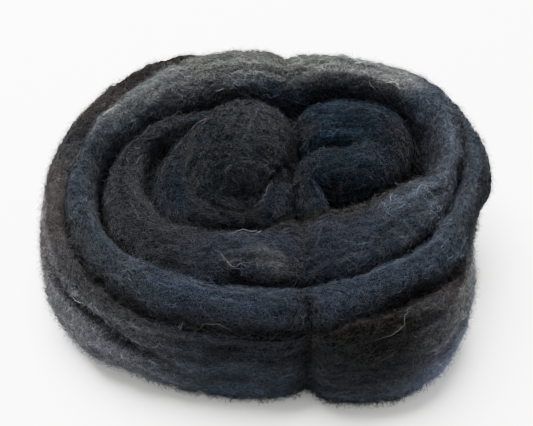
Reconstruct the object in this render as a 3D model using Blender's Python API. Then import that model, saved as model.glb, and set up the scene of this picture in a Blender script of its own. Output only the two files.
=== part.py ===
"""A flat bundle of carded wool roving: one sliver wound on edge, drawn in across its middle.

Metres, +Z up. The origin is at the middle of the flat spot that the bundle rests on, and
+X runs along its longest side. Angles go counter-clockwise from +X, seen from above. The
sliver winds inwards clockwise: front, left, back, right.
"""

import math

import bmesh
import bpy
import numpy as np

MM = 0.001
FLAT = 1e-6                 # metres: a face this near to z = 0 is part of the flat spot

# ---------------------------------------------------------------- driving dimensions (mm)
TURN_ROLL = 6.5             # how far a turn's rounded edge drops to the groove beside it
HEART_ROLL = 5.0
MOUND_ROLL = 6.5
ROLL_SHARE = 0.9            # share of a turn's half thickness that is rounded
FLANK_SLOPE = 3.0           # how steeply a turn's flanks go down to the floor
FLOOR_HEIGHT = 30.0         # wool seen between the turns, at the bottom of the dish

CREASE_HALF_WIDTH = 3.6     # the crease that draws the bundle in, across its middle
CREASE_DEPTH = 4.0
CREASE_FRONT_NOTCH = 3.0    # how far the crease draws in the front wall
CREASE_BACK_NOTCH = 0.8

STEP_LOW = 27.0             # heights between which the wall stands back under the outer band
STEP_HIGH = 33.0

FOLD_HALF_WIDTH = 1.5       # the fold that slants down the left of the front wall
FOLD_DEPTH = 3.0
FOLD_START = (190.0, 203.0)     # directions (degrees) between which it deepens
FOLD_END = (230.0, 250.0)       # and between which it runs out

LUMP_HEIGHT = 0.7           # unevenness of the carded wool
LUMP_START = 4.0            # height above which the wall has its full unevenness

ROLLOVER_SHARE = 0.035      # share of the radius over which the wall turns into the top

ANGLES = 108                # points round the outline
TOP_RINGS = 36              # rings from the wall to the middle of the top
SOFTENING = 0.5             # share by which each point moves to its neighbours' middle
SOFTENING_PASSES = 2
SOFTENING_START = 30.0      # height above which points are softened
SECTION_STEP = 1.5          # distance between sections along the sliver
ROW_STEPS = 12              # smooth steps between two rows of a table

WOOL_COLOR = (0.018, 0.022, 0.030, 1.0)
WOOL_ROUGHNESS = 0.95

# Outline seen from above: direction (degrees), distance from the middle (mm), height where
# the side wall turns into the top, and how far the wall stands back under its rim.
OUTLINE = [
    # angle, radius, rim, under
    (0, 70.5, 36.0, 5.0),
    (-12, 66.5, 34.0, 2.5),
    (-22, 67.0, 30.0, 1.0),
    (-34, 70.8, 28.0, 0.0),
    (-47, 73.8, 28.0, 0.0),
    (-60, 72.0, 28.0, 0.0),
    (-72, 68.0, 29.5, 0.5),
    (-84, 65.0, 31.0, 2.5),
    (-100, 65.0, 31.0, 3.0),
    (-115, 66.5, 31.0, 2.0),
    (-128, 69.0, 30.5, 0.5),
    (-140, 72.0, 29.5, 0.0),
    (-156, 73.5, 30.0, 0.0),
    (-180, 72.8, 31.0, 0.0),
    (-200, 73.5, 32.0, 0.0),
    (-215, 73.5, 33.0, 0.0),
    (-230, 71.5, 34.0, 0.0),
    (-243, 68.5, 35.0, 0.0),
    (-256, 63.5, 36.0, 0.0),
    (-268, 60.0, 37.0, 0.0),
    (-290, 58.8, 38.0, 0.0),
    (-303, 62.5, 38.0, 0.0),
    (-315, 67.0, 37.0, 1.0),
    (-328, 71.5, 36.0, 2.5),
    (-342, 71.0, 36.0, 4.5),
]

# Side wall, from the flat spot upwards: share of the way up, and of the outline's radius.
WALL = [
    # up, share
    (0.0, 0.865),
    (0.03, 0.912),
    (0.10, 0.950),
    (0.25, 0.987),
    (0.50, 1.0),
    (0.75, 0.995),
    (0.90, 0.980),
    (1.0, 0.958),
]

# The turns of the sliver, from the outside in. A section is where the sliver crosses a
# direction (degrees): its outer and inner side, how high its edge stands, and how much
# lower its inner side lies than its outer one, all in mm.
TURNS = [
    # angle, outer, inner, edge, fall
    (-8, 67.0, 61.0, 26.0, -5.5),
    (-29, 71.0, 66.0, 27.5, -5.5),
    (-46, 75.0, 63.0, 30.5, -5.5),
    (-66, 70.5, 61.5, 31.0, -5.5),
    (-82, 65.0, 61.0, 31.5, -2.5),
    (-103, 64.2, 60.4, 31.5, -2.5),
    (-115, 65.8, 62.2, 31.5, -2.5),
    (-127, 69.0, 64.5, 32.0, -3.5),
    (-150, 73.5, 66.5, 32.5, -3.5),
    (-180, 73.0, 64.0, 34.0, -3.5),
    (-210, 74.0, 61.5, 35.5, -3.5),
    (-235, 72.5, 60.5, 36.5, -3.5),
    (-250, 68.5, 59.0, 37.0, -3.0),
    (-262, 63.0, 56.0, 37.0, -1.0),
    (-280, 58.0, 52.0, 36.0, 0.0),
    (-295, 61.0, 55.0, 37.0, 0.0),
    (-310, 66.0, 61.0, 38.5, 0.0),
    (-322, 69.5, 64.0, 39.0, -1.0),
    (-342, 71.5, 61.5, 39.5, -3.0),
    (-365, 71.5, 57.5, 40.0, -3.5),
    (-386, 66.5, 55.0, 41.0, -2.0),
    (-409, 61.0, 51.0, 41.5, 0.0),
    (-433, 59.5, 47.5, 41.0, 0.0),
    (-450, 59.5, 46.0, 41.0, 1.0),
    (-474, 60.5, 47.5, 41.5, 2.0),
    (-494, 63.0, 53.5, 42.5, 0.0),
    (-518, 64.0, 56.0, 43.5, 0.0),
    (-545, 61.0, 53.5, 44.0, 0.0),
    (-570, 59.7, 48.0, 44.0, 1.0),
    (-592, 59.7, 42.5, 44.0, 1.5),
    (-618, 59.2, 40.0, 45.0, 1.5),
    (-638, 58.2, 37.0, 45.0, 2.0),
    (-658, 60.5, 42.5, 46.0, 1.5),
    (-678, 65.0, 50.0, 46.0, 2.0),
    (-698, 64.5, 53.5, 45.0, 1.0),
    (-718, 58.4, 50.0, 44.0, 1.0),
    (-735, 54.9, 35.0, 43.5, 4.0),
    (-752, 51.9, 25.5, 43.0, 4.5),
    (-781, 48.5, 15.5, 42.5, 5.0),
    (-791, 46.5, 15.0, 42.5, 5.0),
    (-798, 46.2, 19.0, 42.5, 6.0),
    (-808, 46.4, 19.0, 43.0, 6.0),
    (-818, 44.5, 19.5, 42.5, 6.0),
    (-824, 42.5, 20.5, 42.0, 5.0),
    (-840, 49.3, 24.0, 41.0, 5.0),
    (-862, 52.2, 31.0, 39.5, 4.0),
    (-886, 53.2, 37.5, 39.0, 3.0),
    (-914, 49.2, 41.0, 39.0, 3.0),
    (-936, 46.0, 36.5, 39.0, 2.0),
    (-965, 39.0, 30.0, 36.0, 0.0),
]

# The heart: the sliver turns back on itself in a loop on the right and dips under the
# crease. A section's half is half its thickness.
LOOP = [
    # x, y, edge, half, fall
    (8.5, 23.0, 38.0, 7.0, 0.0),
    (17.0, 25.0, 40.5, 8.5, 0.0),
    (26.0, 25.0, 41.5, 9.5, 0.0),
    (33.5, 21.0, 41.5, 9.0, 0.0),
    (36.0, 13.0, 41.0, 7.5, 0.0),
    (32.0, 5.0, 40.0, 8.8, -1.5),
    (24.0, 2.8, 39.0, 9.5, -2.5),
    (16.0, 4.0, 38.5, 8.5, -1.5),
    (11.5, 0.5, 38.5, 5.5, 0.0),
    (12.0, -6.5, 37.5, 4.5, 0.0),
    (14.5, -13.0, 36.5, 4.0, 0.0),
]

# Left of the crease it comes up again and curls round the mound.
CURL = [
    # x, y, edge, half, fall
    (4.0, 9.0, 38.5, 4.0, 0.0),
    (2.8, 2.0, 39.0, 5.0, 0.0),
    (2.0, -5.0, 38.5, 5.0, 0.0),
    (1.0, -11.0, 38.0, 5.0, 0.0),
    (-3.0, -16.5, 37.0, 5.0, 0.0),
    (-9.0, -18.0, 36.5, 5.0, 0.0),
    (-16.0, -17.5, 37.0, 5.0, 0.0),
    (-22.5, -15.0, 37.5, 5.5, 0.0),
    (-27.5, -9.5, 38.0, 5.8, 0.0),
    (-29.5, -2.5, 38.5, 6.0, 0.0),
    (-29.0, 5.0, 38.5, 5.5, 0.0),
    (-26.5, 13.0, 38.5, 5.0, 0.0),
    (-22.0, 21.0, 38.0, 4.5, 0.0),
    (-17.0, 28.0, 37.0, 4.0, 0.0),
]

# The tucked end of the sliver, bunched into a mound.
MOUND = [
    # x, y, edge, half, fall
    (-13.5, -5.0, 38.0, 11.0, 0.0),
    (-14.5, 0.0, 40.0, 12.0, 0.0),
    (-12.5, 5.5, 42.5, 14.5, 0.0),
    (-10.5, 11.0, 45.5, 15.5, 0.0),
    (-8.5, 17.5, 45.5, 14.0, 0.0),
]

# The crease, from the front to the back: where it runs (mm) and how strong it is.
CREASE = [
    # y, x, strength
    (-70.0, 10.0, 1.0),
    (-58.0, 10.0, 1.0),
    (-35.0, 9.5, 0.5),
    (-18.0, 9.0, 0.7),
    (-2.0, 7.0, 0.9),
    (11.0, 6.8, 1.0),
    (20.5, 9.0, 1.0),
    (30.0, 6.0, 1.0),
    (45.0, 4.5, 0.4),
    (65.0, 4.0, 0.4),
]

# The fold in the wall: direction (degrees) and height (mm).
FOLD = [
    # angle, height
    (222.0, 23.5),
    (232.0, 20.5),
    (241.0, 17.0),
    (250.0, 14.0),
]


def smooth_rows(rows, steps):
    """A smooth run of rows through the table's rows (Catmull-Rom), end to end."""
    rows = np.array(rows, dtype=float)
    first = 2.0 * rows[0] - rows[1]
    last = 2.0 * rows[-1] - rows[-2]
    padded = np.vstack([first, rows, last])
    runs = []
    for index in range(len(rows) - 1):
        before, start, end, after = padded[index:index + 4]
        t = np.linspace(0.0, 1.0, steps, endpoint=False)[:, None]
        runs.append(0.5 * (2.0 * start
                           + (end - before) * t
                           + (2.0 * before - 5.0 * start + 4.0 * end - after) * t ** 2
                           + (3.0 * start - before - 3.0 * end + after) * t ** 3))
    runs.append(rows[-1:])
    return np.vstack(runs)


def smooth_step(value, low, high):
    share = min(1.0, max(0.0, (value - low) / (high - low)))
    return share * share * (3.0 - 2.0 * share)


def even_sections(route, roll):
    """Sections at even steps along a route: x, y, edge, half, fall, roll and heading."""
    gaps = np.linalg.norm(np.diff(route[:, :2], axis=0), axis=1)
    along = np.concatenate([[0.0], np.cumsum(gaps)])
    stops = np.arange(0.0, along[-1], SECTION_STEP)
    even = np.column_stack([np.interp(stops, along, column) for column in route.T])
    heading = np.gradient(even[:, :2], axis=0)
    heading /= np.linalg.norm(heading, axis=1)[:, None]
    return np.column_stack([even, np.full(len(even), roll), heading])


def sliver_sections():
    """Every section of the sliver, as rows."""
    turns = smooth_rows(TURNS, ROW_STEPS)
    angle = np.radians(turns[:, 0])
    radius = 0.5 * (turns[:, 1] + turns[:, 2])
    half = 0.5 * (turns[:, 1] - turns[:, 2])
    turn_route = np.column_stack([radius * np.cos(angle), radius * np.sin(angle),
                                  turns[:, 3], half, turns[:, 4]])
    parts = [even_sections(turn_route, TURN_ROLL)]
    for table, roll in ((LOOP, HEART_ROLL), (CURL, HEART_ROLL), (MOUND, MOUND_ROLL)):
        parts.append(even_sections(smooth_rows(table, ROW_STEPS), roll))
    return np.vstack(parts)


def outline_curve():
    """The outline's rows, smoothed and closed over a whole round."""
    rows = sorted((row[0] % 360,) + row[1:] for row in OUTLINE)
    closed = [(row[0] - 360,) + row[1:] for row in rows[-2:]] + rows
    closed += [(row[0] + 360,) + row[1:] for row in rows[:2]]
    return smooth_rows(closed, ROW_STEPS)


def outline_at(angle, outline):
    """Radius, rim height and step under the rim (mm) in a direction (radians)."""
    degrees = math.degrees(angle) % 360.0
    return [float(np.interp(degrees, outline[:, 0], column)) for column in outline.T[1:]]


def crease(x, y):
    """How strongly the crease draws in at a place (mm), from 0 to 1."""
    across, middle, strength = np.array(CREASE).T
    offset = (x - np.interp(y, across, middle)) / CREASE_HALF_WIDTH
    return float(np.interp(y, across, strength)) * math.exp(-0.5 * offset ** 2)


def fold(angle, height):
    """How deep the fold is in the wall in a direction (radians) at a height, from 0 to 1."""
    degrees = math.degrees(angle) % 360.0
    middle = np.interp(degrees, *np.array(FOLD).T)
    reach = smooth_step(degrees, *FOLD_START) * (1.0 - smooth_step(degrees, *FOLD_END))
    return reach * math.exp(-0.5 * ((height - middle) / FOLD_HALF_WIDTH) ** 2)


def lump(x, y, z):
    """Slow unevenness of the wool (mm) at a point (mm)."""
    waves = math.sin(0.17 * x + 0.9) * math.cos(0.21 * y - 0.4)
    waves += 0.6 * math.sin(0.31 * y + 0.23 * x + 0.35 * z)
    return LUMP_HEIGHT * waves


def top_height(x, y, sections):
    """Height (mm) of the wound top over a point: the highest turn that covers it."""
    offset_x = x - sections[:, 0]
    offset_y = y - sections[:, 1]
    edge, half, fall, roll, heading_x, heading_y = sections[:, 2:].T
    along = offset_x * heading_x + offset_y * heading_y
    inward = offset_x * heading_y - offset_y * heading_x
    past_section = np.maximum(np.abs(along) - SECTION_STEP, 0.0)
    across = np.copysign(np.hypot(inward, past_section), inward) / half
    rounded = np.clip(across, -ROLL_SHARE, ROLL_SHARE)
    flank = (np.abs(across) - np.abs(rounded)) * half * FLANK_SLOPE
    drop = roll * (1.0 - np.sqrt(1.0 - rounded ** 2))
    height = edge - drop - flank - fall * 0.5 * (rounded + 1.0)
    return max(FLOOR_HEIGHT, float(height.max()))


def wall_point(angle, up, share, outline):
    """A point (mm) on the side wall: bulging, with the crease and the low fold."""
    radius, rim, under = outline_at(angle, outline)
    height = up * rim
    radius = radius * share - under * (1.0 - smooth_step(height, STEP_LOW, STEP_HIGH))
    x = radius * math.cos(angle)
    y = radius * math.sin(angle)
    notch = CREASE_FRONT_NOTCH if y < 0.0 else CREASE_BACK_NOTCH
    above_spot = min(1.0, height / LUMP_START)
    radius += above_spot * (lump(x, y, height) - FOLD_DEPTH * fold(angle, height))
    radius -= notch * crease(x, y)
    return radius * math.cos(angle), radius * math.sin(angle), height


def top_point(angle, share, sections, outline):
    """A point (mm) on the wound top, with the crease pressed into it."""
    x, y, wall_top = wall_point(angle, *WALL[-1], outline)
    x *= share
    y *= share
    height = top_height(x, y, sections) + lump(x, y, 0.0) - CREASE_DEPTH * crease(x, y)
    blend = min(1.0, (1.0 - share) / ROLLOVER_SHARE)
    return x, y, wall_top + (height - wall_top) * math.sin(0.5 * math.pi * blend)


def wool_material():
    material = bpy.data.materials.new("charcoal wool")
    material.use_nodes = True
    shader = material.node_tree.nodes["Principled BSDF"]
    shader.inputs["Base Color"].default_value = WOOL_COLOR
    shader.inputs["Roughness"].default_value = WOOL_ROUGHNESS
    shader.inputs["Metallic"].default_value = 0.0
    return material


def form_point(vertex, ring_count, sections, outline):
    """Where a point of the ball of rings lies on the bundle (mm); ring 0 is underneath."""
    turned = math.acos(max(-1.0, min(1.0, -vertex.co.z)))
    ring = round(turned / math.pi * (ring_count + 1))
    angle = math.atan2(vertex.co.y, vertex.co.x)
    if ring == 0:
        return 0.0, 0.0, 0.0
    if ring <= len(WALL):
        return wall_point(angle, *WALL[ring - 1], outline)
    share = 1.0 - (ring - len(WALL)) / (TOP_RINGS + 1)
    return top_point(angle, max(share, 0.0), sections, outline)


def centre_over_origin(bm):
    """Slides the form sideways until its box is centred on the origin."""
    corners = np.array([vertex.co for vertex in bm.verts])
    middle = (corners.min(axis=0) + corners.max(axis=0)) / 2
    bmesh.ops.translate(bm, verts=bm.verts, vec=(-middle[0], -middle[1], 0.0))


def roving_bundle():
    """The wound bundle as one closed solid: a ball of rings moved onto the real form."""
    sections = sliver_sections()
    outline = outline_curve()

    ring_count = len(WALL) + TOP_RINGS
    mesh = bpy.data.meshes.new("roving_bundle")
    bm = bmesh.new()
    bmesh.ops.create_uvsphere(bm, u_segments=ANGLES, v_segments=ring_count + 1, radius=1.0)
    for vertex in bm.verts:
        point = form_point(vertex, ring_count, sections, outline)
        vertex.co = [value * MM for value in point]
    top = [vertex for vertex in bm.verts if vertex.co.z > SOFTENING_START * MM]
    for _ in range(SOFTENING_PASSES):
        bmesh.ops.smooth_vert(bm, verts=top, factor=SOFTENING, use_axis_x=True,
                              use_axis_y=True, use_axis_z=True)
    centre_over_origin(bm)
    rest_spot = [face for face in bm.faces if max(abs(v.co.z) for v in face.verts) < FLAT]
    bmesh.ops.dissolve_faces(bm, faces=rest_spot, use_verts=False)
    bmesh.ops.recalc_face_normals(bm, faces=bm.faces)
    bm.to_mesh(mesh)
    bm.free()

    mesh.materials.append(wool_material())
    bundle = bpy.data.objects.new("roving_bundle", mesh)
    bpy.context.scene.collection.objects.link(bundle)
    mesh.shade_smooth()
    mesh.set_sharp_from_angle(angle=math.radians(60.0))
    return bundle


def main():
    for old in list(bpy.data.objects):
        bpy.data.objects.remove(old)
    roving_bundle()


main()
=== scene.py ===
"""The looks of a flat bundle of carded wool roving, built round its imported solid.

One long sliver of wool is wound on edge, clockwise and inwards, into a dished bundle with
a curled heart. Loose fibres lie on it, felted together, and stand off it as fuzz.
Metres, +Z up; the tables are in millimetres.
"""

import math

import bpy
import numpy as np
from bpy.props import FloatProperty, FloatVectorProperty, IntProperty, PointerProperty
from bpy.types import Operator, Panel, PropertyGroup
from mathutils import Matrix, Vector, noise
from mathutils.bvhtree import BVHTree


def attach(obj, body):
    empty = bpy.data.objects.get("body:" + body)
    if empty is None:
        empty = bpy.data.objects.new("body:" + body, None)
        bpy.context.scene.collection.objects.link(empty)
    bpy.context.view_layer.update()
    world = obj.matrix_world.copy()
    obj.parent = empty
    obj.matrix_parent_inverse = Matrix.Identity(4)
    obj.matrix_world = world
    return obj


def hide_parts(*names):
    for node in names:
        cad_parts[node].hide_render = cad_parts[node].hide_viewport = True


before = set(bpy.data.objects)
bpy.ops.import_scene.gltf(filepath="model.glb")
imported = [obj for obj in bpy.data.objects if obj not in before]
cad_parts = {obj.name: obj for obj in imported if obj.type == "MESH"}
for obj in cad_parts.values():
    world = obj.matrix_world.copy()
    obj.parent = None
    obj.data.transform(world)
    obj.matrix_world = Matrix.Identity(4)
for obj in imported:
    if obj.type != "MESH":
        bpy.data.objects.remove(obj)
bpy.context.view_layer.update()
NODE = "roving_bundle"
BODY = "root"

bl_info = {
    "name": "Wool Roving Bundle",
    "version": (1, 0, 0),
    "blender": (4, 5, 0),
    "location": "View3D > Sidebar > Wool",
    "description": "Winds a sliver of carded wool into a bundle and lays its fibres",
    "category": "Object",
}

MM = 0.001
ROUND = 2.0 * math.pi

# Colours of the blended wool, linear.
WOOLS = {
    "pitch": (0.0010, 0.0011, 0.0010),
    "night": (0.0008, 0.0010, 0.0014),
    "soot": (0.0028, 0.0028, 0.0026),
    "earth": (0.0022, 0.0019, 0.0017),
    "coal": (0.0024, 0.0030, 0.0038),
    "deep": (0.0018, 0.0027, 0.0045),
    "ink": (0.0015, 0.0026, 0.0042),
    "dusk": (0.0022, 0.0031, 0.0050),
    "teal": (0.0025, 0.0040, 0.0062),
    "bark": (0.0044, 0.0048, 0.0058),
    "stone": (0.0095, 0.0094, 0.0101),
    "umber": (0.0068, 0.0060, 0.0056),
    "smoke": (0.0130, 0.0115, 0.0110),
    "ash": (0.0027, 0.0033, 0.0041),
    "mist": (0.0110, 0.0119, 0.0134),
    "navy": (0.0062, 0.0081, 0.0120),
    "steel": (0.0061, 0.0077, 0.0101),
    "slate": (0.0070, 0.0088, 0.0113),
    "plum": (0.0042, 0.0051, 0.0075),
    "mauve": (0.0118, 0.0141, 0.0181),
    "dove": (0.0195, 0.0210, 0.0210),
    "moss": (0.0290, 0.0300, 0.0280),
    "pale": (0.0400, 0.0420, 0.0410),
}

# Outline seen from above: direction (degrees), distance from the middle (mm), height where
# the side wall turns into the top, and how far the wall stands back under its rim.
OUTLINE = [
    # angle, radius, rim, under
    (0, 69.8, 36.0, 5.0),
    (-12, 65.5, 34.0, 2.5),
    (-22, 67.0, 30.0, 1.0),
    (-34, 70.8, 28.0, 0.0),
    (-47, 73.8, 28.0, 0.0),
    (-60, 72.0, 28.0, 0.0),
    (-72, 68.0, 29.5, 0.5),
    (-84, 65.0, 31.0, 2.5),
    (-100, 65.0, 31.0, 3.0),
    (-115, 66.5, 31.0, 2.0),
    (-128, 69.0, 30.5, 0.5),
    (-140, 72.0, 29.5, 0.0),
    (-156, 73.5, 30.0, 0.0),
    (-180, 72.8, 31.0, 0.0),
    (-200, 73.5, 32.0, 0.0),
    (-215, 74.5, 33.0, 0.0),
    (-230, 73.0, 34.0, 0.0),
    (-243, 69.3, 35.0, 0.0),
    (-256, 63.5, 36.0, 0.0),
    (-268, 60.0, 37.0, 0.0),
    (-290, 58.8, 38.0, 0.0),
    (-303, 61.8, 38.0, 0.0),
    (-315, 66.3, 37.0, 1.0),
    (-328, 71.5, 36.0, 2.5),
    (-342, 71.0, 36.0, 4.5),
]

# Side wall, from the flat spot upwards: share of the way up, and of the outline's radius.
WALL = [
    # up, share
    (0.0, 0.865),
    (0.03, 0.912),
    (0.10, 0.950),
    (0.25, 0.987),
    (0.50, 1.0),
    (0.75, 0.995),
    (0.90, 0.980),
    (1.0, 0.958),
]

# The turns of the sliver, from the outside in. A section is where the sliver crosses a
# direction (degrees): its outer and inner side, how high its edge stands, how much lower
# its inner side lies than its outer one, all in mm, and which wool shows outside, and inside
# where that is another.
TURNS = [
    # angle, outer, inner, edge, fall, wool, inside
    (15, 68.0, 62.0, 26.0, 0.0, "smoke"),
    (-8, 67.0, 61.0, 26.0, -5.5, "smoke"),
    (-29, 71.0, 66.0, 27.5, -5.5, "moss"),
    (-37, 73.5, 64.5, 29.0, -5.5, "smoke"),
    (-46, 75.0, 63.0, 30.5, -5.5, "stone"),
    (-56, 73.5, 62.0, 31.0, -5.5, "pitch"),
    (-66, 70.5, 61.5, 31.0, -5.5, "pitch"),
    (-75, 67.5, 61.5, 30.5, -4.0, "pitch"),
    (-82, 65.0, 61.0, 31.5, -2.5, "coal"),
    (-90, 64.2, 60.4, 31.5, -2.5, "coal"),
    (-103, 64.2, 60.4, 31.5, -2.5, "coal"),
    (-115, 65.8, 62.2, 31.5, -2.5, "coal"),
    (-127, 69.0, 64.5, 32.0, -3.5, "stone"),
    (-138, 72.0, 66.0, 32.0, -3.5, "stone"),
    (-150, 73.5, 66.5, 32.5, -3.5, "stone"),
    (-165, 73.5, 66.0, 33.5, -3.5, "smoke"),
    (-180, 73.0, 64.0, 34.0, -3.5, "smoke"),
    (-195, 74.5, 62.5, 35.0, -3.5, "stone"),
    (-210, 74.0, 61.5, 35.5, -3.5, "umber"),
    (-222, 75.0, 61.0, 36.0, -3.5, "umber"),
    (-235, 73.8, 60.5, 36.5, -3.5, "umber"),
    (-250, 69.3, 59.0, 37.0, -3.0, "umber"),
    (-262, 63.0, 56.0, 37.0, -1.0, "umber"),
    (-280, 58.0, 52.0, 36.0, 0.0, "slate", "navy"),
    (-295, 61.0, 55.0, 37.0, 0.0, "slate", "navy"),
    (-310, 66.0, 61.0, 38.5, 0.0, "slate", "navy"),
    (-322, 69.5, 64.0, 39.0, -1.0, "slate"),
    (-332, 71.0, 63.5, 39.0, -2.5, "slate"),
    (-342, 71.5, 61.5, 39.5, -3.0, "slate"),
    (-352, 72.0, 60.0, 39.5, -3.5, "slate"),
    (-365, 70.4, 57.5, 40.0, -3.5, "slate"),
    (-375, 68.4, 56.5, 40.5, -3.0, "slate"),
    (-386, 65.8, 55.0, 41.0, -2.0, "slate", "navy"),
    (-397, 63.5, 54.0, 41.5, -1.0, "navy"),
    (-409, 61.0, 51.0, 41.5, 0.0, "navy"),
    (-422, 60.0, 49.0, 41.0, 0.0, "navy"),
    (-433, 59.5, 47.5, 41.0, 0.0, "navy"),
    (-441, 59.5, 47.0, 41.0, 0.0, "navy"),
    (-450, 59.5, 46.0, 41.0, 1.0, "navy"),
    (-462, 59.5, 46.0, 41.5, 2.0, "navy"),
    (-474, 60.5, 47.5, 41.5, 2.0, "navy"),
    (-483, 62.0, 50.0, 42.0, 1.0, "navy"),
    (-494, 63.0, 53.5, 42.5, 0.0, "slate", "navy"),
    (-505, 64.0, 55.5, 43.0, 0.0, "slate", "navy"),
    (-518, 64.0, 56.0, 43.5, 0.0, "steel"),
    (-530, 63.5, 55.5, 44.0, 0.0, "steel"),
    (-545, 61.0, 53.5, 44.0, 0.0, "steel"),
    (-558, 60.0, 51.0, 44.5, 0.0, "mist", "slate"),
    (-570, 59.7, 48.0, 44.0, 1.0, "dove", "slate"),
    (-580, 59.7, 45.0, 44.0, 2.0, "dove", "slate"),
    (-592, 59.7, 42.5, 44.0, 1.5, "dove", "mist"),
    (-605, 59.5, 41.5, 44.5, 1.5, "moss", "mist"),
    (-618, 59.2, 40.0, 45.0, 1.5, "moss", "mist"),
    (-630, 58.7, 38.0, 45.0, 2.0, "moss", "slate"),
    (-638, 58.2, 37.0, 45.0, 2.0, "moss", "navy"),
    (-647, 58.7, 39.0, 45.0, 2.0, "moss", "coal"),
    (-658, 60.5, 42.5, 46.0, 1.5, "pale", "coal"),
    (-668, 62.8, 46.0, 46.0, 1.5, "pale", "coal"),
    (-678, 64.3, 50.0, 46.0, 2.0, "pale", "coal"),
    (-688, 65.5, 53.0, 45.5, 1.0, "mauve", "plum"),
    (-698, 64.5, 53.5, 45.0, 1.0, "mauve", "plum"),
    (-708, 61.4, 51.5, 44.5, 1.0, "mauve", "plum"),
    (-718, 58.4, 50.0, 44.0, 1.0, "mauve", "plum"),
    (-727, 55.9, 46.5, 44.0, 2.0, "mauve", "plum"),
    (-735, 54.9, 35.0, 43.5, 4.0, "mauve", "earth"),
    (-743, 53.4, 30.5, 43.5, 4.0, "mauve", "earth"),
    (-752, 51.9, 25.5, 43.0, 4.5, "plum", "earth"),
    (-763, 51.0, 20.5, 43.0, 5.0, "plum", "earth"),
    (-781, 48.5, 15.5, 42.5, 5.0, "plum", "earth"),
    (-791, 46.5, 15.0, 42.5, 5.0, "plum", "earth"),
    (-798, 46.2, 19.0, 42.5, 6.0, "plum"),
    (-803, 46.4, 19.0, 43.0, 6.0, "plum"),
    (-808, 46.4, 19.0, 43.0, 6.0, "plum"),
    (-813, 45.5, 19.0, 43.0, 6.0, "plum"),
    (-818, 44.5, 19.5, 42.5, 6.0, "plum"),
    (-824, 42.5, 20.5, 42.0, 5.0, "plum"),
    (-831, 44.3, 22.0, 41.5, 5.0, "plum"),
    (-840, 49.3, 24.0, 41.0, 5.0, "plum"),
    (-850, 53.0, 27.0, 40.5, 4.0, "bark"),
    (-862, 52.2, 31.0, 39.5, 4.0, "bark"),
    (-874, 53.7, 35.5, 39.5, 3.0, "bark"),
    (-886, 53.2, 37.5, 39.0, 3.0, "bark"),
    (-900, 51.7, 40.5, 39.0, 3.0, "bark"),
    (-914, 49.2, 41.0, 39.0, 3.0, "bark"),
    (-925, 46.7, 39.5, 39.0, 2.0, "bark"),
    (-936, 46.0, 36.5, 39.0, 2.0, "bark"),
    (-950, 42.0, 32.0, 38.0, 2.0, "coal"),
    (-965, 39.0, 30.0, 36.0, 0.0, "coal"),
    (-982, 37.0, 29.0, 34.0, 0.0, "coal"),
]

# The heart: the sliver turns back on itself in a loop on the right and dips under the
# crease.
LOOP = [
    # x, y, edge, half, fall, wool, inside
    (8.5, 23.0, 38.0, 7.0, 0.0, "teal"),
    (17.0, 25.0, 40.5, 8.5, 0.0, "teal"),
    (26.0, 25.0, 41.5, 9.5, 0.0, "teal"),
    (33.5, 21.0, 41.5, 9.0, 0.0, "deep", "teal"),
    (36.0, 13.0, 41.0, 7.5, 0.0, "night", "teal"),
    (32.0, 5.0, 40.0, 8.8, -1.5, "deep", "teal"),
    (24.0, 2.8, 39.0, 9.5, -2.5, "ink", "teal"),
    (16.0, 4.0, 38.5, 8.5, -1.5, "ink"),
    (11.5, 0.5, 38.5, 5.5, 0.0, "ink"),
    (12.0, -6.5, 37.5, 4.5, 0.0, "ink"),
    (14.5, -13.0, 36.5, 4.0, 0.0, "ink"),
]

# Left of the crease it comes up again and curls round the mound.
CURL = [
    # x, y, edge, half, fall, wool, inside
    (4.0, 9.0, 38.5, 4.0, 0.0, "deep"),
    (2.8, 2.0, 39.0, 5.0, 0.0, "deep"),
    (2.0, -5.0, 38.5, 5.0, 0.0, "deep"),
    (1.0, -11.0, 38.0, 5.0, 0.0, "deep"),
    (-3.0, -16.5, 37.0, 5.0, 0.0, "night"),
    (-9.0, -18.0, 36.5, 5.0, 0.0, "night"),
    (-16.0, -17.5, 37.0, 5.0, 0.0, "night"),
    (-22.5, -15.0, 37.5, 5.5, 0.0, "coal"),
    (-27.5, -9.5, 38.0, 5.8, 0.0, "dusk", "coal"),
    (-29.5, -2.5, 38.5, 6.0, 0.0, "dusk", "coal"),
    (-29.0, 5.0, 38.5, 5.5, 0.0, "coal"),
    (-26.5, 13.0, 38.5, 5.0, 0.0, "coal"),
    (-22.0, 21.0, 38.0, 4.5, 0.0, "coal"),
    (-17.0, 28.0, 37.0, 4.0, 0.0, "coal"),
]

# The tucked end of the sliver, bunched into a mound.
MOUND = [
    # x, y, edge, half, fall, wool, inside
    (-13.5, -5.0, 38.0, 11.0, 0.0, "coal"),
    (-14.5, 0.0, 40.0, 12.0, 0.0, "coal"),
    (-12.5, 5.5, 42.5, 14.5, 0.0, "coal"),
    (-10.5, 11.0, 45.5, 15.5, 0.0, "ash"),
    (-8.5, 17.5, 45.5, 14.0, 0.0, "ash"),
]

# The crease that draws the bundle in, from the front to the back: where it runs (mm) and
# how strong it is.
CREASE = [
    # y, x, strength
    (-70.0, 10.0, 1.0),
    (-58.0, 10.0, 1.0),
    (-50.0, 9.8, 0.5),
    (-35.0, 9.5, 0.5),
    (-18.0, 9.0, 0.7),
    (-11.0, 7.6, 0.8),
    (-2.0, 7.0, 0.9),
    (11.0, 6.8, 1.0),
    (15.0, 8.8, 1.0),
    (20.5, 9.0, 1.0),
    (30.0, 6.0, 1.0),
    (45.0, 4.5, 0.4),
    (65.0, 4.0, 0.4),
]

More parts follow.
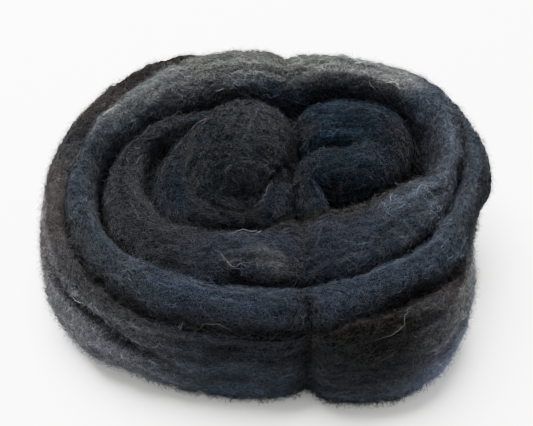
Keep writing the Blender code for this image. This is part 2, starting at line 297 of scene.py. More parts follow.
# Local touches on the top, all in mm: centre, half length and half width, direction
# (degrees), how far it stands up, and which wool colour it is given and how much.
PATCHES = [
    # x, y, length, width, turn, rise, wool, share
    (-1.0, -39.5, 7.5, 4.5, -55.0, 1.2, "mist", 0.95),
    (-4.0, -23.0, 10.0, 1.4, 2.0, -1.2, "night", 0.85),
    (-10.5, -38.0, 8.0, 3.0, 10.0, 0.4, "mist", 0.5),
    (-6.5, 19.0, 9.0, 6.5, 0.0, 0.0, "mist", 0.35),
    (18.5, -5.0, 3.2, 2.2, -20.0, -1.5, "night", 0.8),
    (12.0, 22.0, 4.0, 3.0, 0.0, 0.0, "soot", 0.5),
    # Painted light: this patch lightens the front slope of the mound, which lies in shade.
    (-6.5, -4.0, 6.0, 4.5, -20.0, 1.0, "bark", 0.6),
    (-14.0, -44.5, 9.0, 2.0, 5.0, -1.0, "soot", 0.5),
]

# How the sliver is rounded on each route: mm that its rounded edge drops towards its sides,
# how steeply its flanks go down to the floor, and how clear the seam beside it is.
ROUNDING = {
    # route: roll, slope, seam
    "turns": (6.5, 7.0, 1.0),
    "loop": (5.0, 3.5, 0.45),
    "curl": (5.0, 3.0, 0.45),
    "mound": (6.5, 2.5, 0.35),
}
ROLL_SHARE = 0.93           # share of a turn's half thickness that is rounded
SEAM_BLEND = 2.6            # mm over which two turns flow together where no seam shows
COLOR_BLEND = 0.8           # mm of height over which the colours of two turns blend
CLEFT_WIDTH = 1.3           # mm of height difference beside a seam that its cleft takes up
FLOOR_HEIGHT = 30.5         # mm: wool seen between the turns
CLEFT_HEIGHT = FLOOR_HEIGHT + 0.5   # mm: there are clefts only above this
NOWHERE = -99.0             # mm: lower than any turn
SECTION_STEP = 1.5          # mm between sections along the sliver
ROW_STEPS = 12              # smooth steps between two rows of a table
APART = 16.0                # mm of sliver, and how many of its half thicknesses more, that
APART_HALVES = 1.6          # sections of two different turns lie apart
ROUTE_GAP = 100.0           # mm counted between the routes of two tables
FIRST_ROUND = 430.0         # mm of sliver that the side wall shows
ROLLOVER_SHARE = 0.035      # share of the radius over which the wall turns into the top
STRAND_CONTRAST = 0.55      # how much lighter and darker strands differ

# The side wall, in mm and degrees.
LIP = (27.0, 33.0)          # heights between which the wall comes out to the outer band
FOLD_START = (190.0, 203.0)     # directions between which the fold at the left deepens
FOLD_END = (230.0, 250.0)       # and between which it runs out
FOLD_WIDTH = 0.9
FOLD_DEPTH = 3.0
FOLD_BULGE = 0.8            # how far the wool under the fold stands out
FOLD = [
    # direction, height
    (222.0, 23.5),
    (232.0, 20.5),
    (241.0, 17.0),
    (250.0, 14.0),
]
FOOT = [
    # direction, half width, height that it reaches, how far the foot of the wall comes out
    (224.0, 10.0, 14.0, -2.6),
    (254.0, 9.0, 10.0, 1.6),
]
PANEL = (math.radians(312.0), 0.30)     # the flatter part at the right: middle, half width
GROOVE_HEIGHT = 18.0        # wavy line on the panel: its height, and how far it sways
GROOVE_SWAY = 5.0
GROOVES = (0.0, 10.0)       # how far under that line the two grooves run
GROOVE_WIDTH = 1.1
GROOVE_DEPTH = 0.6
FOLD_SHADE = 0.9            # how much darker the fold is
WALL_HUE = (0.95, 1.0, 1.06)
# Painted light in the side wall's colour: from the floor at its foot, at the front and at the
# left.
PANEL_FOOT_LIGHT = (1.0, 1.3, 2.2)      # light from the floor at the foot of the panel
WALL_BLEND = 8.0            # points round the outline over which the wall's colours blend
LIT_HEIGHT = 24.0           # height up to which the floor lights the wall
WALL_LIGHT = (1.3, 1.5)     # light on the wall everywhere, and more of it at the foot
FRONT_LIGHT = (0.9, 2.7)    # and what the front has besides
LEFT_LIGHT = 0.25

# The crease: half widths of its soft fold and of its line, and how dark its painted shade is.
CREASE_WIDTHS = (3.6, 1.4)
CREASE_SHADE = 0.35
CREASE_WAVER = (0.5, 0.45)  # how far the line wavers (mm), and how often (radians per mm)
CREASE_HEIGHTS = (28.0, 36.0)   # mm: heights between which it begins to press the wool down
NOTCH_REACH = 58.0          # mm from the middle, where the crease draws the wall in fully
BACK_NOTCH = 0.6            # share of that at the back

# How much painted shade darkens the top in the seams, well under a turn's edge and at the
# floor, and the mm over which it darkens: beside the seam, below the edge, and of height.
SEAM_SHADE, SEAM_WIDTH = 0.8, 2.5
DEEP_SHADE, DEEP = 0.6, (4.2, 8.0)
FLOOR_SHADE, FLOOR_HEIGHTS = 0.4, (31.0, 35.0)
DARKEST = 0.12

# Unevenness of the wool: mm from one lump, tuft, furrow or strand to the next. The last
# two have a length along the sliver and a width across it.
LUMPS = (15.0, 6.0)
TUFTS = (2.4, 1.3)
FURROW = (22.0, 2.6)
STRAND = (20.0, 1.3)

ANGLES = 340                # points round the outline
TOP_RINGS = 130
WALL_RINGS = 54
RING_CROWDING = 1.15        # above 1, the wall's rings lie closer together at its foot
WALL_LIE = 40.0             # mm: sets the wall's furrows apart from those of the top
BASE_SHARES = (0.28, 0.55, 0.75)
CHUNK = 2000                # points of the top worked out at once

UV_BAKE = "OFBake"
CELL_MARGIN = 0.06          # share of a fibre's cell of the UV map that stays empty at a side

PICTURE_WIDTH = 533.0       # pixels
SHIFT = (1.5, 6.0)          # pixels that the camera's picture is moved by


class BundleSizes(PropertyGroup):
    lump: FloatProperty(
        name="Lumps", description="Height of the slow unevenness of the wool",
        default=1.0 * MM, min=0.0, unit="LENGTH")
    furrow: FloatProperty(
        name="Furrows", description="Depth of the furrows along the sliver",
        default=0.5 * MM, min=0.0, unit="LENGTH")
    tuft: FloatProperty(
        name="Tufts", description="Height of the small tufts of the wool",
        default=0.6 * MM, min=0.0, unit="LENGTH")
    cleft: FloatProperty(
        name="Clefts", description="Extra depth where two turns meet",
        default=2.5 * MM, min=0.0, unit="LENGTH")
    crease_depth: FloatProperty(
        name="Crease depth", description="How far the crease presses the top in",
        default=2.6 * MM, min=0.0, unit="LENGTH")
    crease_line: FloatProperty(
        name="Crease line", description="Depth of the narrow line along the crease",
        default=2.4 * MM, min=0.0, unit="LENGTH")
    crease_notch: FloatProperty(
        name="Crease notch", description="How far the crease draws in front and back",
        default=1.8 * MM, min=0.0, unit="LENGTH")


class FibreSizes(PropertyGroup):
    seed: IntProperty(
        name="Seed", description="Changes how the fibres fall", default=7, min=0)
    felt_count: IntProperty(
        name="Felted fibres", description="Fibres in each piece of felted wool",
        default=8000, min=1)
    fuzz_count: IntProperty(
        name="Fuzz", description="Fibres that stand off the bundle",
        default=30000, min=1)
    edge_count: IntProperty(
        name="Edge fuzz", description="More fibres that stand off the outside",
        default=33000, min=1)
    stray_count: IntProperty(
        name="Stray hairs", description="Long pale hairs", default=24, min=1)
    length: FloatProperty(
        name="Fibre length", description="Length of a felted fibre",
        default=5.0 * MM, min=0.0, unit="LENGTH")
    thickness: FloatProperty(
        name="Fibre thickness", description="Width of a felted wisp of fibre",
        default=0.15 * MM, min=0.0, unit="LENGTH")


class StageSizes(PropertyGroup):
    floor_color: FloatVectorProperty(
        name="Floor colour", description="The pale surface that it rests on",
        default=(0.93, 0.93, 0.92), size=3, subtype="COLOR", min=0.0, max=1.0)
    elevation: FloatProperty(
        name="Camera elevation", description="How far above level the camera looks from",
        default=math.radians(45.0), subtype="ANGLE", unit="ROTATION")
    distance: FloatProperty(
        name="Camera distance", description="From the bundle to the camera",
        default=0.47, min=0.1, unit="LENGTH")
    lens: FloatProperty(
        name="Lens", description="Focal length in millimetres", default=100.0, min=10.0)
    light: FloatProperty(
        name="Light", description="Power of the overhead soft light, in watts",
        default=240.0, min=0.0)


# ------------------------------------------------------------------ the wound form

def smooth_rows(rows, steps):
    """A smooth run of rows through the table's rows (Catmull-Rom), end to end."""
    rows = np.array(rows, dtype=float)
    first = 2.0 * rows[0] - rows[1]
    last = 2.0 * rows[-1] - rows[-2]
    padded = np.vstack([first, rows, last])
    runs = []
    for index in range(len(rows) - 1):
        before, start, end, after = padded[index:index + 4]
        t = np.linspace(0.0, 1.0, steps, endpoint=False)[:, None]
        runs.append(0.5 * (2.0 * start
                           + (end - before) * t
                           + (2.0 * before - 5.0 * start + 4.0 * end - after) * t ** 2
                           + (3.0 * start - before - 3.0 * end + after) * t ** 3))
    runs.append(rows[-1:])
    return np.vstack(runs)


def even_sections(route):
    """Sections at even steps along a route of rows that start with x and y."""
    gaps = np.linalg.norm(np.diff(route[:, :2], axis=0), axis=1)
    along = np.concatenate([[0.0], np.cumsum(gaps)])
    stops = np.arange(0.0, along[-1], SECTION_STEP)
    even = np.column_stack([np.interp(stops, along, column) for column in route.T])
    heading = np.gradient(even[:, :2], axis=0)
    heading /= np.linalg.norm(heading, axis=1)[:, None]
    return stops, even, heading


def table_route(table):
    """A smooth run through a table of sections, with the wools as colours."""
    return smooth_rows([row[:5] + WOOLS[row[5]] + WOOLS[row[-1]] for row in table], ROW_STEPS)


class Sections:
    """Every section of the sliver, as columns."""

    def __init__(self):
        turns = table_route(TURNS)
        angle = np.radians(turns[:, 0])
        radius = 0.5 * (turns[:, 1] + turns[:, 2])
        half = 0.5 * (turns[:, 1] - turns[:, 2])
        turn_route = np.column_stack([radius * np.cos(angle), radius * np.sin(angle),
                                      turns[:, 3], half, turns[:, 4:]])
        routes = [(turn_route, ROUNDING["turns"]), (table_route(LOOP), ROUNDING["loop"]),
                  (table_route(CURL), ROUNDING["curl"]), (table_route(MOUND), ROUNDING["mound"])]
        stops, evens, headings, rounding = [], [], [], []
        start = 0.0
        for route, values in routes:
            stop, even, heading = even_sections(route)
            stops.append(stop + start)
            evens.append(even)
            headings.append(heading)
            rounding.append(np.tile(values, (len(stop), 1)))
            start = stops[-1][-1] + ROUTE_GAP
        self.stop = np.concatenate(stops)
        even = np.vstack(evens)
        self.x, self.y, self.edge, self.half, self.fall = even[:, :5].T
        self.color = even[:, 5:8]
        self.inside = even[:, 8:]
        self.heading = np.vstack(headings)
        self.roll, self.slope, self.seam = np.vstack(rounding).T

    def cover(self, x, y):
        """For each point: height, gap to the turn beside it, how clear the seam between
        them is, depth under the turn's edge, section, distance inwards and colour."""
        offset_x = x[:, None] - self.x
        offset_y = y[:, None] - self.y
        along = offset_x * self.heading[:, 0] + offset_y * self.heading[:, 1]
        inward = offset_x * self.heading[:, 1] - offset_y * self.heading[:, 0]
        past = np.maximum(np.abs(along) - SECTION_STEP, 0.0)
        across = np.copysign(np.hypot(inward, past), inward) / self.half
        rounded = np.minimum(np.abs(across), ROLL_SHARE)
        flank = (np.abs(across) - rounded) * self.half * self.slope
        drop = self.roll * (1.0 - np.sqrt(1.0 - rounded ** 2))
        lean = self.fall * 0.5 * (np.clip(across, -1.0, 1.0) + 1.0)
        height = self.edge - drop - flank - lean
        best = height.argmax(axis=1)
        rows = np.arange(len(x))
        top = height[rows, best]
        below = self.edge[best] - top
        other = (np.abs(self.stop[None, :] - self.stop[best][:, None])
                 > APART + APART_HALVES * self.half[best][:, None])
        beside = np.where(other, height, NOWHERE)
        neighbour = beside.argmax(axis=1)
        gap = top - beside[rows, neighbour]
        seam = np.minimum(self.seam[best], self.seam[neighbour])
        weight = np.exp(np.minimum(height - top[:, None], 0.0) / COLOR_BLEND)
        inner = weight * smooth_step(across, 0.1, 0.9)
        color = (weight - inner) @ self.color + inner @ self.inside
        color /= weight.sum(axis=1)[:, None]
        soft = SEAM_BLEND * (1.0 - seam) + 0.01
        top = top + soft * np.log1p(np.exp(-np.maximum(gap, 0.0) / soft))
        return top, gap, seam, below, best, inward[rows, best], color


def outline_at(angles):
    """Radius, rim height and step under the rim (mm) in the given directions (radians)."""
    rows = sorted((row[0] % 360,) + row[1:] for row in OUTLINE)
    closed = [(row[0] - 360,) + row[1:] for row in rows[-2:]] + rows
    closed += [(row[0] + 360,) + row[1:] for row in rows[:2]]
    curve = smooth_rows(closed, ROW_STEPS)
    degrees = np.degrees(angles) % 360.0
    return [np.interp(degrees, curve[:, 0], column) for column in curve.T[1:]]


def smooth_step(value, low, high):
    """0 up to the low value, 1 from the high one, and a smooth rise between them."""
    share = np.clip((value - low) / (high - low), 0.0, 1.0)
    return share * share * (3.0 - 2.0 * share)


def smooth_fall(value, low, high):
    """1 up to the low value, 0 from the high one, and a smooth fall between them."""
    return smooth_step(-value, -high, -low)


def bump(value, middle, width):
    """A smooth bump: 1 at its middle, and fading over its width."""
    return np.exp(-0.5 * ((value - middle) / width) ** 2)


def crease_share(x, y, width):
    """How strongly the crease draws in at a place (mm), from 0 to 1."""
    across, middle, strength = np.array(CREASE).T
    return np.interp(y, across, strength) * bump(x, np.interp(y, across, middle), width)


def wall_radii(angle, height, share, radius, under):
    """How far out the side wall lies (mm) at each height, and how deep its fold is there."""
    out = share[:, None] * radius[None, :]
    out = out - under[None, :] * (1.0 - smooth_step(height, *LIP))
    turned = np.degrees(angle)
    reach = smooth_step(turned, *FOLD_START) * smooth_fall(turned, *FOLD_END)
    line = np.interp(turned, *np.array(FOLD).T)
    fold = bump(height, line, FOLD_WIDTH) * reach[None, :]
    beneath = smooth_step(line - height, 0.0, 2.0) * reach[None, :]
    out = out - FOLD_DEPTH * fold + FOLD_BULGE * beneath * smooth_step(height, 0.5, 6.0)
    tucked, spilt = (rise * bump(turned, middle, width) * smooth_fall(height, 0.0, top)
                     for middle, width, top, rise in FOOT)
    out = out + tucked + spilt
    wave = GROOVE_HEIGHT + GROOVE_SWAY * np.sin(angle * 2.6 + 1.2)[None, :]
    for under_wave in GROOVES:
        groove = bump(height - wave + under_wave, 0.0, GROOVE_WIDTH)
        out = out - GROOVE_DEPTH * bump(angle, *PANEL)[None, :] * groove
    return out, fold


def touch_up(places, height, tint):
    """Adds the table's local touches to the height and the colour of the places (mm)."""
    for x, y, length, width, turn, rise, wool, much in PATCHES:
        way = math.radians(turn)
        along = (places[:, 0] - x) * math.cos(way) + (places[:, 1] - y) * math.sin(way)
        aside = (places[:, 1] - y) * math.cos(way) - (places[:, 0] - x) * math.sin(way)
        inside = np.exp(-((along / length) ** 2 + (aside / width) ** 2) ** 2)
        height = height + rise * inside
        tint = tint + (np.array(WOOLS[wool]) - tint) * (much * inside)[:, None]
    return height, tint


def soften(height):
    """Evens out a grid of heights a little, each with its four neighbours."""
    for _ in range(2):
        around = (np.roll(height, 1, axis=1) + np.roll(height, -1, axis=1)
                  + np.vstack([height[:1], height[:-1]]) + np.vstack([height[1:], height[-1:]]))
        height = 0.5 * height + 0.125 * around
    return height


def wall_colors(sections, angle, height):
    """Colours of the side wall: the sliver's first round, blended and lightened by painted light.
    """
    first = sections.stop < FIRST_ROUND
    turned = np.unwrap(np.arctan2(sections.y[first], sections.x[first]))
    colors = np.column_stack([np.interp(np.degrees((angle - turned[0]) % ROUND - ROUND),
                                        np.degrees(turned - turned[0])[::-1], column[::-1])
                              for column in sections.color[first].T])
    steps = np.arange(-20, 21)
    weight = bump(steps, 0.0, WALL_BLEND)
    colors = sum(share * np.roll(colors, step, axis=0)
                 for step, share in zip(steps, weight / weight.sum()))
    low = np.clip(1.0 - height / LIT_HEIGHT, 0.0, 1.0)
    front = smooth_step(-np.sin(angle), -0.3, 0.5)
    left = smooth_step(-np.cos(angle), 0.5, 0.95)
    light = WALL_LIGHT[0] + WALL_LIGHT[1] * low + front * (FRONT_LIGHT[0] + FRONT_LIGHT[1] * low)
    light = light * (1.0 + LEFT_LIGHT * left)
    colors = colors[None] * light[:, :, None] * WALL_HUE
    return colors * (1.0 + (low * bump(angle, *PANEL))[:, :, None] * PANEL_FOOT_LIGHT)


def press_crease(grid, color, sizes):
    """Presses the crease into the points (mm) and paints shade into their colour there."""
    x, y, z = grid[:, :, 0], grid[:, :, 1], grid[:, :, 2]
    wide = crease_share(x, y, CREASE_WIDTHS[0])
    waver = CREASE_WAVER[0] * np.sin(CREASE_WAVER[1] * y)
    sharp = crease_share(x + waver, y, CREASE_WIDTHS[1])
    # Painted shade along the crease.
    color *= 1.0 - (CREASE_SHADE * wide + CREASE_SHADE * sharp)[:, :, None]
    high = smooth_step(z, *CREASE_HEIGHTS)
    grid[:, :, 2] = z - high * (sizes.crease_depth / MM * wide + sizes.crease_line / MM * sharp)
    far = np.clip(np.abs(y) / NOTCH_REACH, 0.0, 1.0) ** 3 * np.where(y > 0.0, BACK_NOTCH, 1.0)
    drawn = sizes.crease_notch / MM * wide + sizes.crease_line / MM * sharp
    grid[:, :, 1] = y - np.sign(y) * far * drawn


def form_grid(sizes):
    """The bundle's points (mm) as rings from underneath to the middle of the top.

    Also what the fibres need there: heading along the sliver, colour, and the distance
    along and across the sliver that its furrows follow.
    """
    sections = Sections()
    angle = ROUND * np.arange(ANGLES) / ANGLES
    radius, rim, under = outline_at(angle)
    up = np.linspace(0.0, 1.0, WALL_RINGS) ** RING_CROWDING
    share = np.interp(up, *smooth_rows(WALL, ROW_STEPS).T)

    base = len(BASE_SHARES)
    top = base + WALL_RINGS
    grid = np.zeros((top + TOP_RINGS, ANGLES, 3))
    heading = np.zeros_like(grid)
    color = np.zeros_like(grid)
    lie = np.zeros(grid.shape[:2] + (2,))

    wall_z = up[:, None] * rim[None, :]
    wall_r, fold = wall_radii(angle, wall_z, share, radius, under)
    ways = np.column_stack([np.cos(angle), np.sin(angle)])
    base_r = np.array(BASE_SHARES)[:, None] * wall_r[0]
    shares = 1.0 - (np.arange(TOP_RINGS) + 1.0) / (TOP_RINGS + 1.0)
    top_r = shares[:, None] * wall_r[-1]
    grid[:, :, :2] = np.vstack([base_r, wall_r, top_r])[:, :, None] * ways
    grid[base:top, :, 2] = wall_z

    flat = grid[top:].reshape(-1, 3)
    parts = [sections.cover(flat[start:start + CHUNK, 0], flat[start:start + CHUNK, 1])
             for start in range(0, len(flat), CHUNK)]
    height, gap, seam, below, best, across, tint = [np.concatenate(columns)
                                                    for columns in zip(*parts)]
    cleft = seam * np.exp(-(gap / CLEFT_WIDTH) ** 2) * (height > CLEFT_HEIGHT)
    height, tint = touch_up(flat, height, tint)
    uncleft = np.maximum(height, FLOOR_HEIGHT)
    height = soften((uncleft - sizes.cleft / MM * cleft).reshape(TOP_RINGS, ANGLES))
    blend = np.minimum(1.0, (1.0 - shares) / ROLLOVER_SHARE)[:, None]
    grid[top:, :, 2] = rim[None, :] + (height - rim[None, :]) * np.sin(0.5 * math.pi * blend)

    # Painted shade: darker in the seams, well under a turn's edge and at the floor.
    shade = 1.0 - SEAM_SHADE * seam * np.exp(-(gap / SEAM_WIDTH) ** 2)
    shade = shade * (1.0 - DEEP_SHADE * seam * smooth_step(below, *DEEP))
    shade = shade * (1.0 - FLOOR_SHADE * smooth_fall(uncleft, *FLOOR_HEIGHTS))
    color[top:] = (tint * np.clip(shade, DARKEST, 1.0)[:, None]).reshape(TOP_RINGS, ANGLES, 3)
    walled = wall_colors(sections, angle, grid[:top, :, 2])
    # Painted shade in the fold at the left of the wall.
    walled[base:] *= 1.0 - FOLD_SHADE * fold[:, :, None]
    upper = smooth_step(grid[:top, :, 2], *LIP)[:, :, None]
    color[:top] = walled * (1.0 - upper) + color[top][None] * upper

    heading[top:, :, :2] = sections.heading[best].reshape(TOP_RINGS, ANGLES, 2)
    heading[:top, :, 0] = np.sin(angle)
    heading[:top, :, 1] = -np.cos(angle)
    lie[top:, :, 0] = sections.stop[best].reshape(TOP_RINGS, ANGLES)
    lie[top:, :, 1] = across.reshape(TOP_RINGS, ANGLES)
    lie[:top, :, 0] = -radius * angle
    lie[:top, :, 1] = WALL_LIE + grid[:top, :, 2]
    press_crease(grid, color, sizes)
    return grid, heading, color, lie


def grid_normals(grid):
    """Outward normals of a grid of rings."""
    round_way = np.roll(grid, -1, axis=1) - np.roll(grid, 1, axis=1)
    up_way = np.gradient(grid, axis=0)
    normal = np.cross(round_way, up_way)
    return normal / np.maximum(np.linalg.norm(normal, axis=2), 1e-9)[:, :, None]


def roughen(grid, lie, sizes):
    """Moves the points in and out: slow lumps, furrows along the sliver and small tufts.

    Also how light each point's strands are.
    """
    normal = grid_normals(grid)
    out = np.empty(grid.shape[:2])
    light = np.empty(grid.shape[:2])
    walls = len(BASE_SHARES) + WALL_RINGS
    for ring in range(grid.shape[0]):
        for index in range(ANGLES):
            here = Vector(grid[ring, index])
            along, across = lie[ring, index]
            slow = noise.noise(here / LUMPS[0])
            quick = noise.noise(here / LUMPS[1] + Vector((3.1, 0.0, 0.0)))
            tuft = noise.noise(here / TUFTS[0]) + 0.5 * noise.noise(here / TUFTS[1])
            ridge = noise.noise(Vector((along / FURROW[0], across / FURROW[1], 3.0)))
            out[ring, index] = (sizes.lump * (slow + 0.6 * quick) + sizes.tuft * tuft
                                + sizes.furrow * ridge) / MM
            if ring < walls:
                strand = Vector((here.x / STRAND[0], here.y / STRAND[0], here.z / STRAND[1]))
            else:
                strand = Vector((along / STRAND[0], across / STRAND[1], 9.0))
            light[ring, index] = noise.noise(strand) + 0.7 * noise.noise(strand * 0.45)
    out *= smooth_step(grid[:, :, 2], 0.2, 3.0)
    return grid + normal * out[:, :, None], np.exp(STRAND_CONTRAST * light)


def give_points(mesh, name, kind, key, values):
    """Gives each point of the mesh its value of a new attribute."""
    mesh.attributes.new(name, kind, "POINT").data.foreach_set(key, values.ravel())


def bundle_mesh(sizes):
    """The wound wool as one closed mesh: rings round the form and a point at each end."""
    grid, heading, color, lie = form_grid(sizes)
    grid, light = roughen(grid, lie, sizes)
    color = color * light[:, :, None]
    middle = 0.5 * (grid.min(axis=(0, 1)) + grid.max(axis=(0, 1)))
    grid[:, :, :2] -= middle[:2]
    rings = len(grid)
    ends = np.array([grid[0].mean(axis=0), grid[-1].mean(axis=0)])
    points = np.vstack([grid.reshape(-1, 3), ends]) * MM

    ring, turn = np.meshgrid(np.arange(rings - 1), np.arange(ANGLES), indexing="ij")
    after = (turn + 1) % ANGLES
    quads = np.stack([ring * ANGLES + turn, ring * ANGLES + after,
                      (ring + 1) * ANGLES + after, (ring + 1) * ANGLES + turn], axis=-1)
    turns = np.arange(ANGLES)
    nexts = (turns + 1) % ANGLES
    last = (rings - 1) * ANGLES
    bottom = np.stack([nexts, turns, np.full(ANGLES, rings * ANGLES)], axis=-1)
    cap = np.stack([last + turns, last + nexts, np.full(ANGLES, rings * ANGLES + 1)], axis=-1)
    faces = quads.reshape(-1, 4).tolist() + bottom.tolist() + cap.tolist()
    mesh = bpy.data.meshes.new("wound_wool")
    mesh.from_pydata(points.tolist(), [], faces)

    u = np.stack([turn, turn + 1, turn + 1, turn], axis=-1) / ANGLES
    v = (np.stack([ring, ring, ring + 1, ring + 1], axis=-1) + 1.0) / (rings + 1.0)
    step = 1.0 / (rings + 1.0)
    bottom_uv = [(value / ANGLES, at) for turn_at in turns
                 for value, at in ((turn_at + 1, step), (turn_at, step), (turn_at + 0.5, 0.0))]
    cap_uv = [(value / ANGLES, at) for turn_at in turns
              for value, at in ((turn_at, 1.0 - step), (turn_at + 1, 1.0 - step),
                                (turn_at + 0.5, 1.0))]
    uvs = np.vstack([np.stack([u, v], axis=-1).reshape(-1, 2), bottom_uv, cap_uv])
    mesh.uv_layers.new(name=UV_BAKE).data.foreach_set("uv", uvs.astype(np.float32).ravel())

    painted = np.ones((len(points), 4), np.float32)
    painted[:-2, :3] = color.reshape(-1, 3)
    painted[-2, :3] = color[0].mean(axis=0)
    painted[-1, :3] = color[-1].mean(axis=0)
    give_points(mesh, "tint", "FLOAT_COLOR", "color", painted)
    way = np.zeros((len(points), 3), np.float32)
    way[:-2] = heading.reshape(-1, 3)
    way[-2:] = (1.0, 0.0, 0.0)
    give_points(mesh, "heading", "FLOAT_VECTOR", "vector", way)
    mesh.shade_smooth()
    mesh.update()
    return mesh


# ------------------------------------------------------------------ node helpers

class Nodes:
    """Adds nodes to a tree and joins them, by the names of their sockets."""

    def __init__(self, tree):
        self.tree = tree

    def add(self, kind, values=None, **settings):
        node = self.tree.nodes.new(kind)
        for name, value in settings.items():
            setattr(node, name, value)
        for key, value in (values or {}).items():
            self.give(self.socket(node.inputs, key), value)
        return node

    def socket(self, sockets, key):
        if isinstance(key, int):
            return sockets[key]
        return next(s for s in sockets if s.name == key and s.enabled)

    def give(self, socket, value):
        if isinstance(value, bpy.types.NodeSocket):
            self.tree.links.new(value, socket)
        elif isinstance(value, bpy.types.Node):
            self.tree.links.new(next(s for s in value.outputs if s.enabled), socket)
        else:
            socket.default_value = value

    def math(self, operation, a, b=0.0, c=None):
        node = self.add("ShaderNodeMath", {0: a, 1: b}, operation=operation)
        if c is not None:
            self.give(node.inputs[2], c)
        return node.outputs[0]

    def scaled(self, vector, scale):
        node = self.add("ShaderNodeVectorMath", {0: vector}, operation="SCALE")
        self.give(node.inputs[3], scale)
        return node.outputs[0]


# ------------------------------------------------------------------ materials

# Felt painted on the wool: lines per metre, and a shift that sets each layer apart.
FELT_LINES = [
    (600.0, (0.0, 0.0, 0.0)),
    (800.0, (3.0, 1.0, 5.0)),
    (1000.0, (7.0, 4.0, 2.0)),
    (1300.0, (1.0, 9.0, 8.0)),
]
LINE_WIDTH = 0.035


def fibre_lines(nodes, place, scale, shift):
    """Thin curly lines, like fibres: where a smooth noise crosses its middle."""
    moved = nodes.add("ShaderNodeMapping", {"Vector": place, "Location": shift,
                                            "Scale": (scale, scale, scale)})
    cloud = nodes.add("ShaderNodeTexNoise", {"Vector": moved, "Scale": 1.0, "Detail": 1.0,
                                             "Distortion": 0.5})
    off = nodes.math("ABSOLUTE", nodes.math("SUBTRACT", cloud.outputs[0], 0.5))
    line = nodes.add("ShaderNodeMapRange", {"Value": off, "From Min": 0.0,
                                            "From Max": LINE_WIDTH, "To Min": 1.0,
                                            "To Max": 0.0})
    return line.outputs[0]


def wool_material(name, roughness, felted):
    """Blended wool: the place's own tint, mottled, with a felt of crimped fibres."""
    material = bpy.data.materials.new(name)
    material.use_nodes = True
    tree = material.node_tree
    shader = tree.nodes["Principled BSDF"]
    shader.inputs["Roughness"].default_value = roughness
    shader.inputs["Specular IOR Level"].default_value = 0.0
    shader.inputs["Sheen Weight"].default_value = 0.045
    shader.inputs["Sheen Roughness"].default_value = 0.2
    shader.inputs["Sheen Tint"].default_value = (1.0, 0.95, 0.93, 1.0)
    nodes = Nodes(tree)
    tint = nodes.add("ShaderNodeAttribute", attribute_name="tint").outputs["Color"]
    place = nodes.add("ShaderNodeTexCoord").outputs["Object"]
    mottle = nodes.add("ShaderNodeTexNoise", {"Vector": place, "Scale": 120.0, "Detail": 3.0})
    shade = nodes.add("ShaderNodeMapRange", {"Value": mottle.outputs[0], "From Min": 0.3,
                                             "From Max": 0.7, "To Min": 0.75, "To Max": 1.25})
    color = nodes.scaled(tint, shade.outputs[0])
    if felted:
        felt = fibre_lines(nodes, place, *FELT_LINES[0])
        for scale, shift in FELT_LINES[1:]:
            felt = nodes.math("ADD", felt, fibre_lines(nodes, place, scale, shift))
        strength = nodes.math("MULTIPLY_ADD", felt, 1.0, 0.4)
        color = nodes.scaled(color, strength)
        relief = nodes.add("ShaderNodeBump", {"Height": felt, "Strength": 0.8,
                                              "Distance": 0.25 * MM})
        nodes.give(shader.inputs["Normal"], relief.outputs[0])
    nodes.give(shader.inputs["Base Color"], color)
    return material


# ------------------------------------------------------------------ fibres

FLECKS = [
    # share of the fibres, and how they differ in colour from the wool about them
    (0.30, (0.40, 0.42, 0.46)),
    (0.26, (0.75, 0.95, 1.15)),
    (0.22, (1.30, 1.35, 1.40)),
    (0.13, (2.00, 1.80, 1.60)),
    (0.09, (3.20, 3.20, 3.30)),
]

# Long hairs that show on the heart: the places (mm) that each one runs through.
PLACED_HAIRS = [
    ((-10.9, -27.5), (-4.5, -22.5), (-1.5, -22.5)),
    ((-2.9, -27.0), (-1.5, -25.0), (-0.9, -23.8)),
]

# Partly the fuzz's paler colour, partly painted glow of the light at the bundle's edges.
PALE_FUZZ_AND_GLOW = (0.012, 0.011, 0.011)    # colour added to fibres that stand off as haze
HAIR = (0.10, 0.10, 0.10)
LOWEST_FIBRE = -0.3         # mm: fibres under the bundle lie flat against what it rests on
TOP_HEIGHT = 29.0           # mm: what lies higher is the top
SIDE_HEIGHT = 1.0           # mm: what lies between this and the top is the side
FOOT_HEIGHTS = (0.3, 5.0)   # mm between which the foot gets more of the edge fuzz
EDGE_HALVES = (63.0, 54.0)  # mm: half sizes of the middle of the top, which gets none
SEED_STEP = 100

# How tall standing fibres are at most (mm), how wide (mm), and their share of the pale
# colour and painted glow.
FUZZ = (1.3, 0.08, 0.0)
EDGE_FUZZ = (2.3, 0.095, 1.0)


def read_columns(items, key, width):
    """The items' values of a key as rows, so many numbers wide."""
    values = np.empty(len(items) * width)
    items.foreach_get(key, values)
    return values.reshape(-1, width)


class Ground:
    """The wool's surface, for laying fibres on it."""

    def __init__(self, mesh):
        self.points = read_columns(mesh.vertices, "co", 3) / MM
        self.normals = read_columns(mesh.vertices, "normal", 3)
        self.headings = read_columns(mesh.attributes["heading"].data, "vector", 3)
        self.colors = read_columns(mesh.attributes["tint"].data, "color", 4)[:, :3]
        faces = [tuple(face.vertices) for face in mesh.polygons]
        self.corners = np.array([face[:3] for face in faces])
        self.areas = read_columns(mesh.polygons, "area", 1)[:, 0]
        self.tree = BVHTree.FromPolygons([Vector(point) for point in self.points], faces)

    def settle(self, paths):
        """The nearest surface point and its normal for every point of the paths."""
        flat = paths.reshape(-1, 3)
        found = np.empty((len(flat), 3))
        normal = np.empty((len(flat), 3))
        for index, point in enumerate(flat):
            place, way, _, _ = self.tree.find_nearest(point)
            found[index] = place
            normal[index] = way
        return found.reshape(paths.shape), normal.reshape(paths.shape)


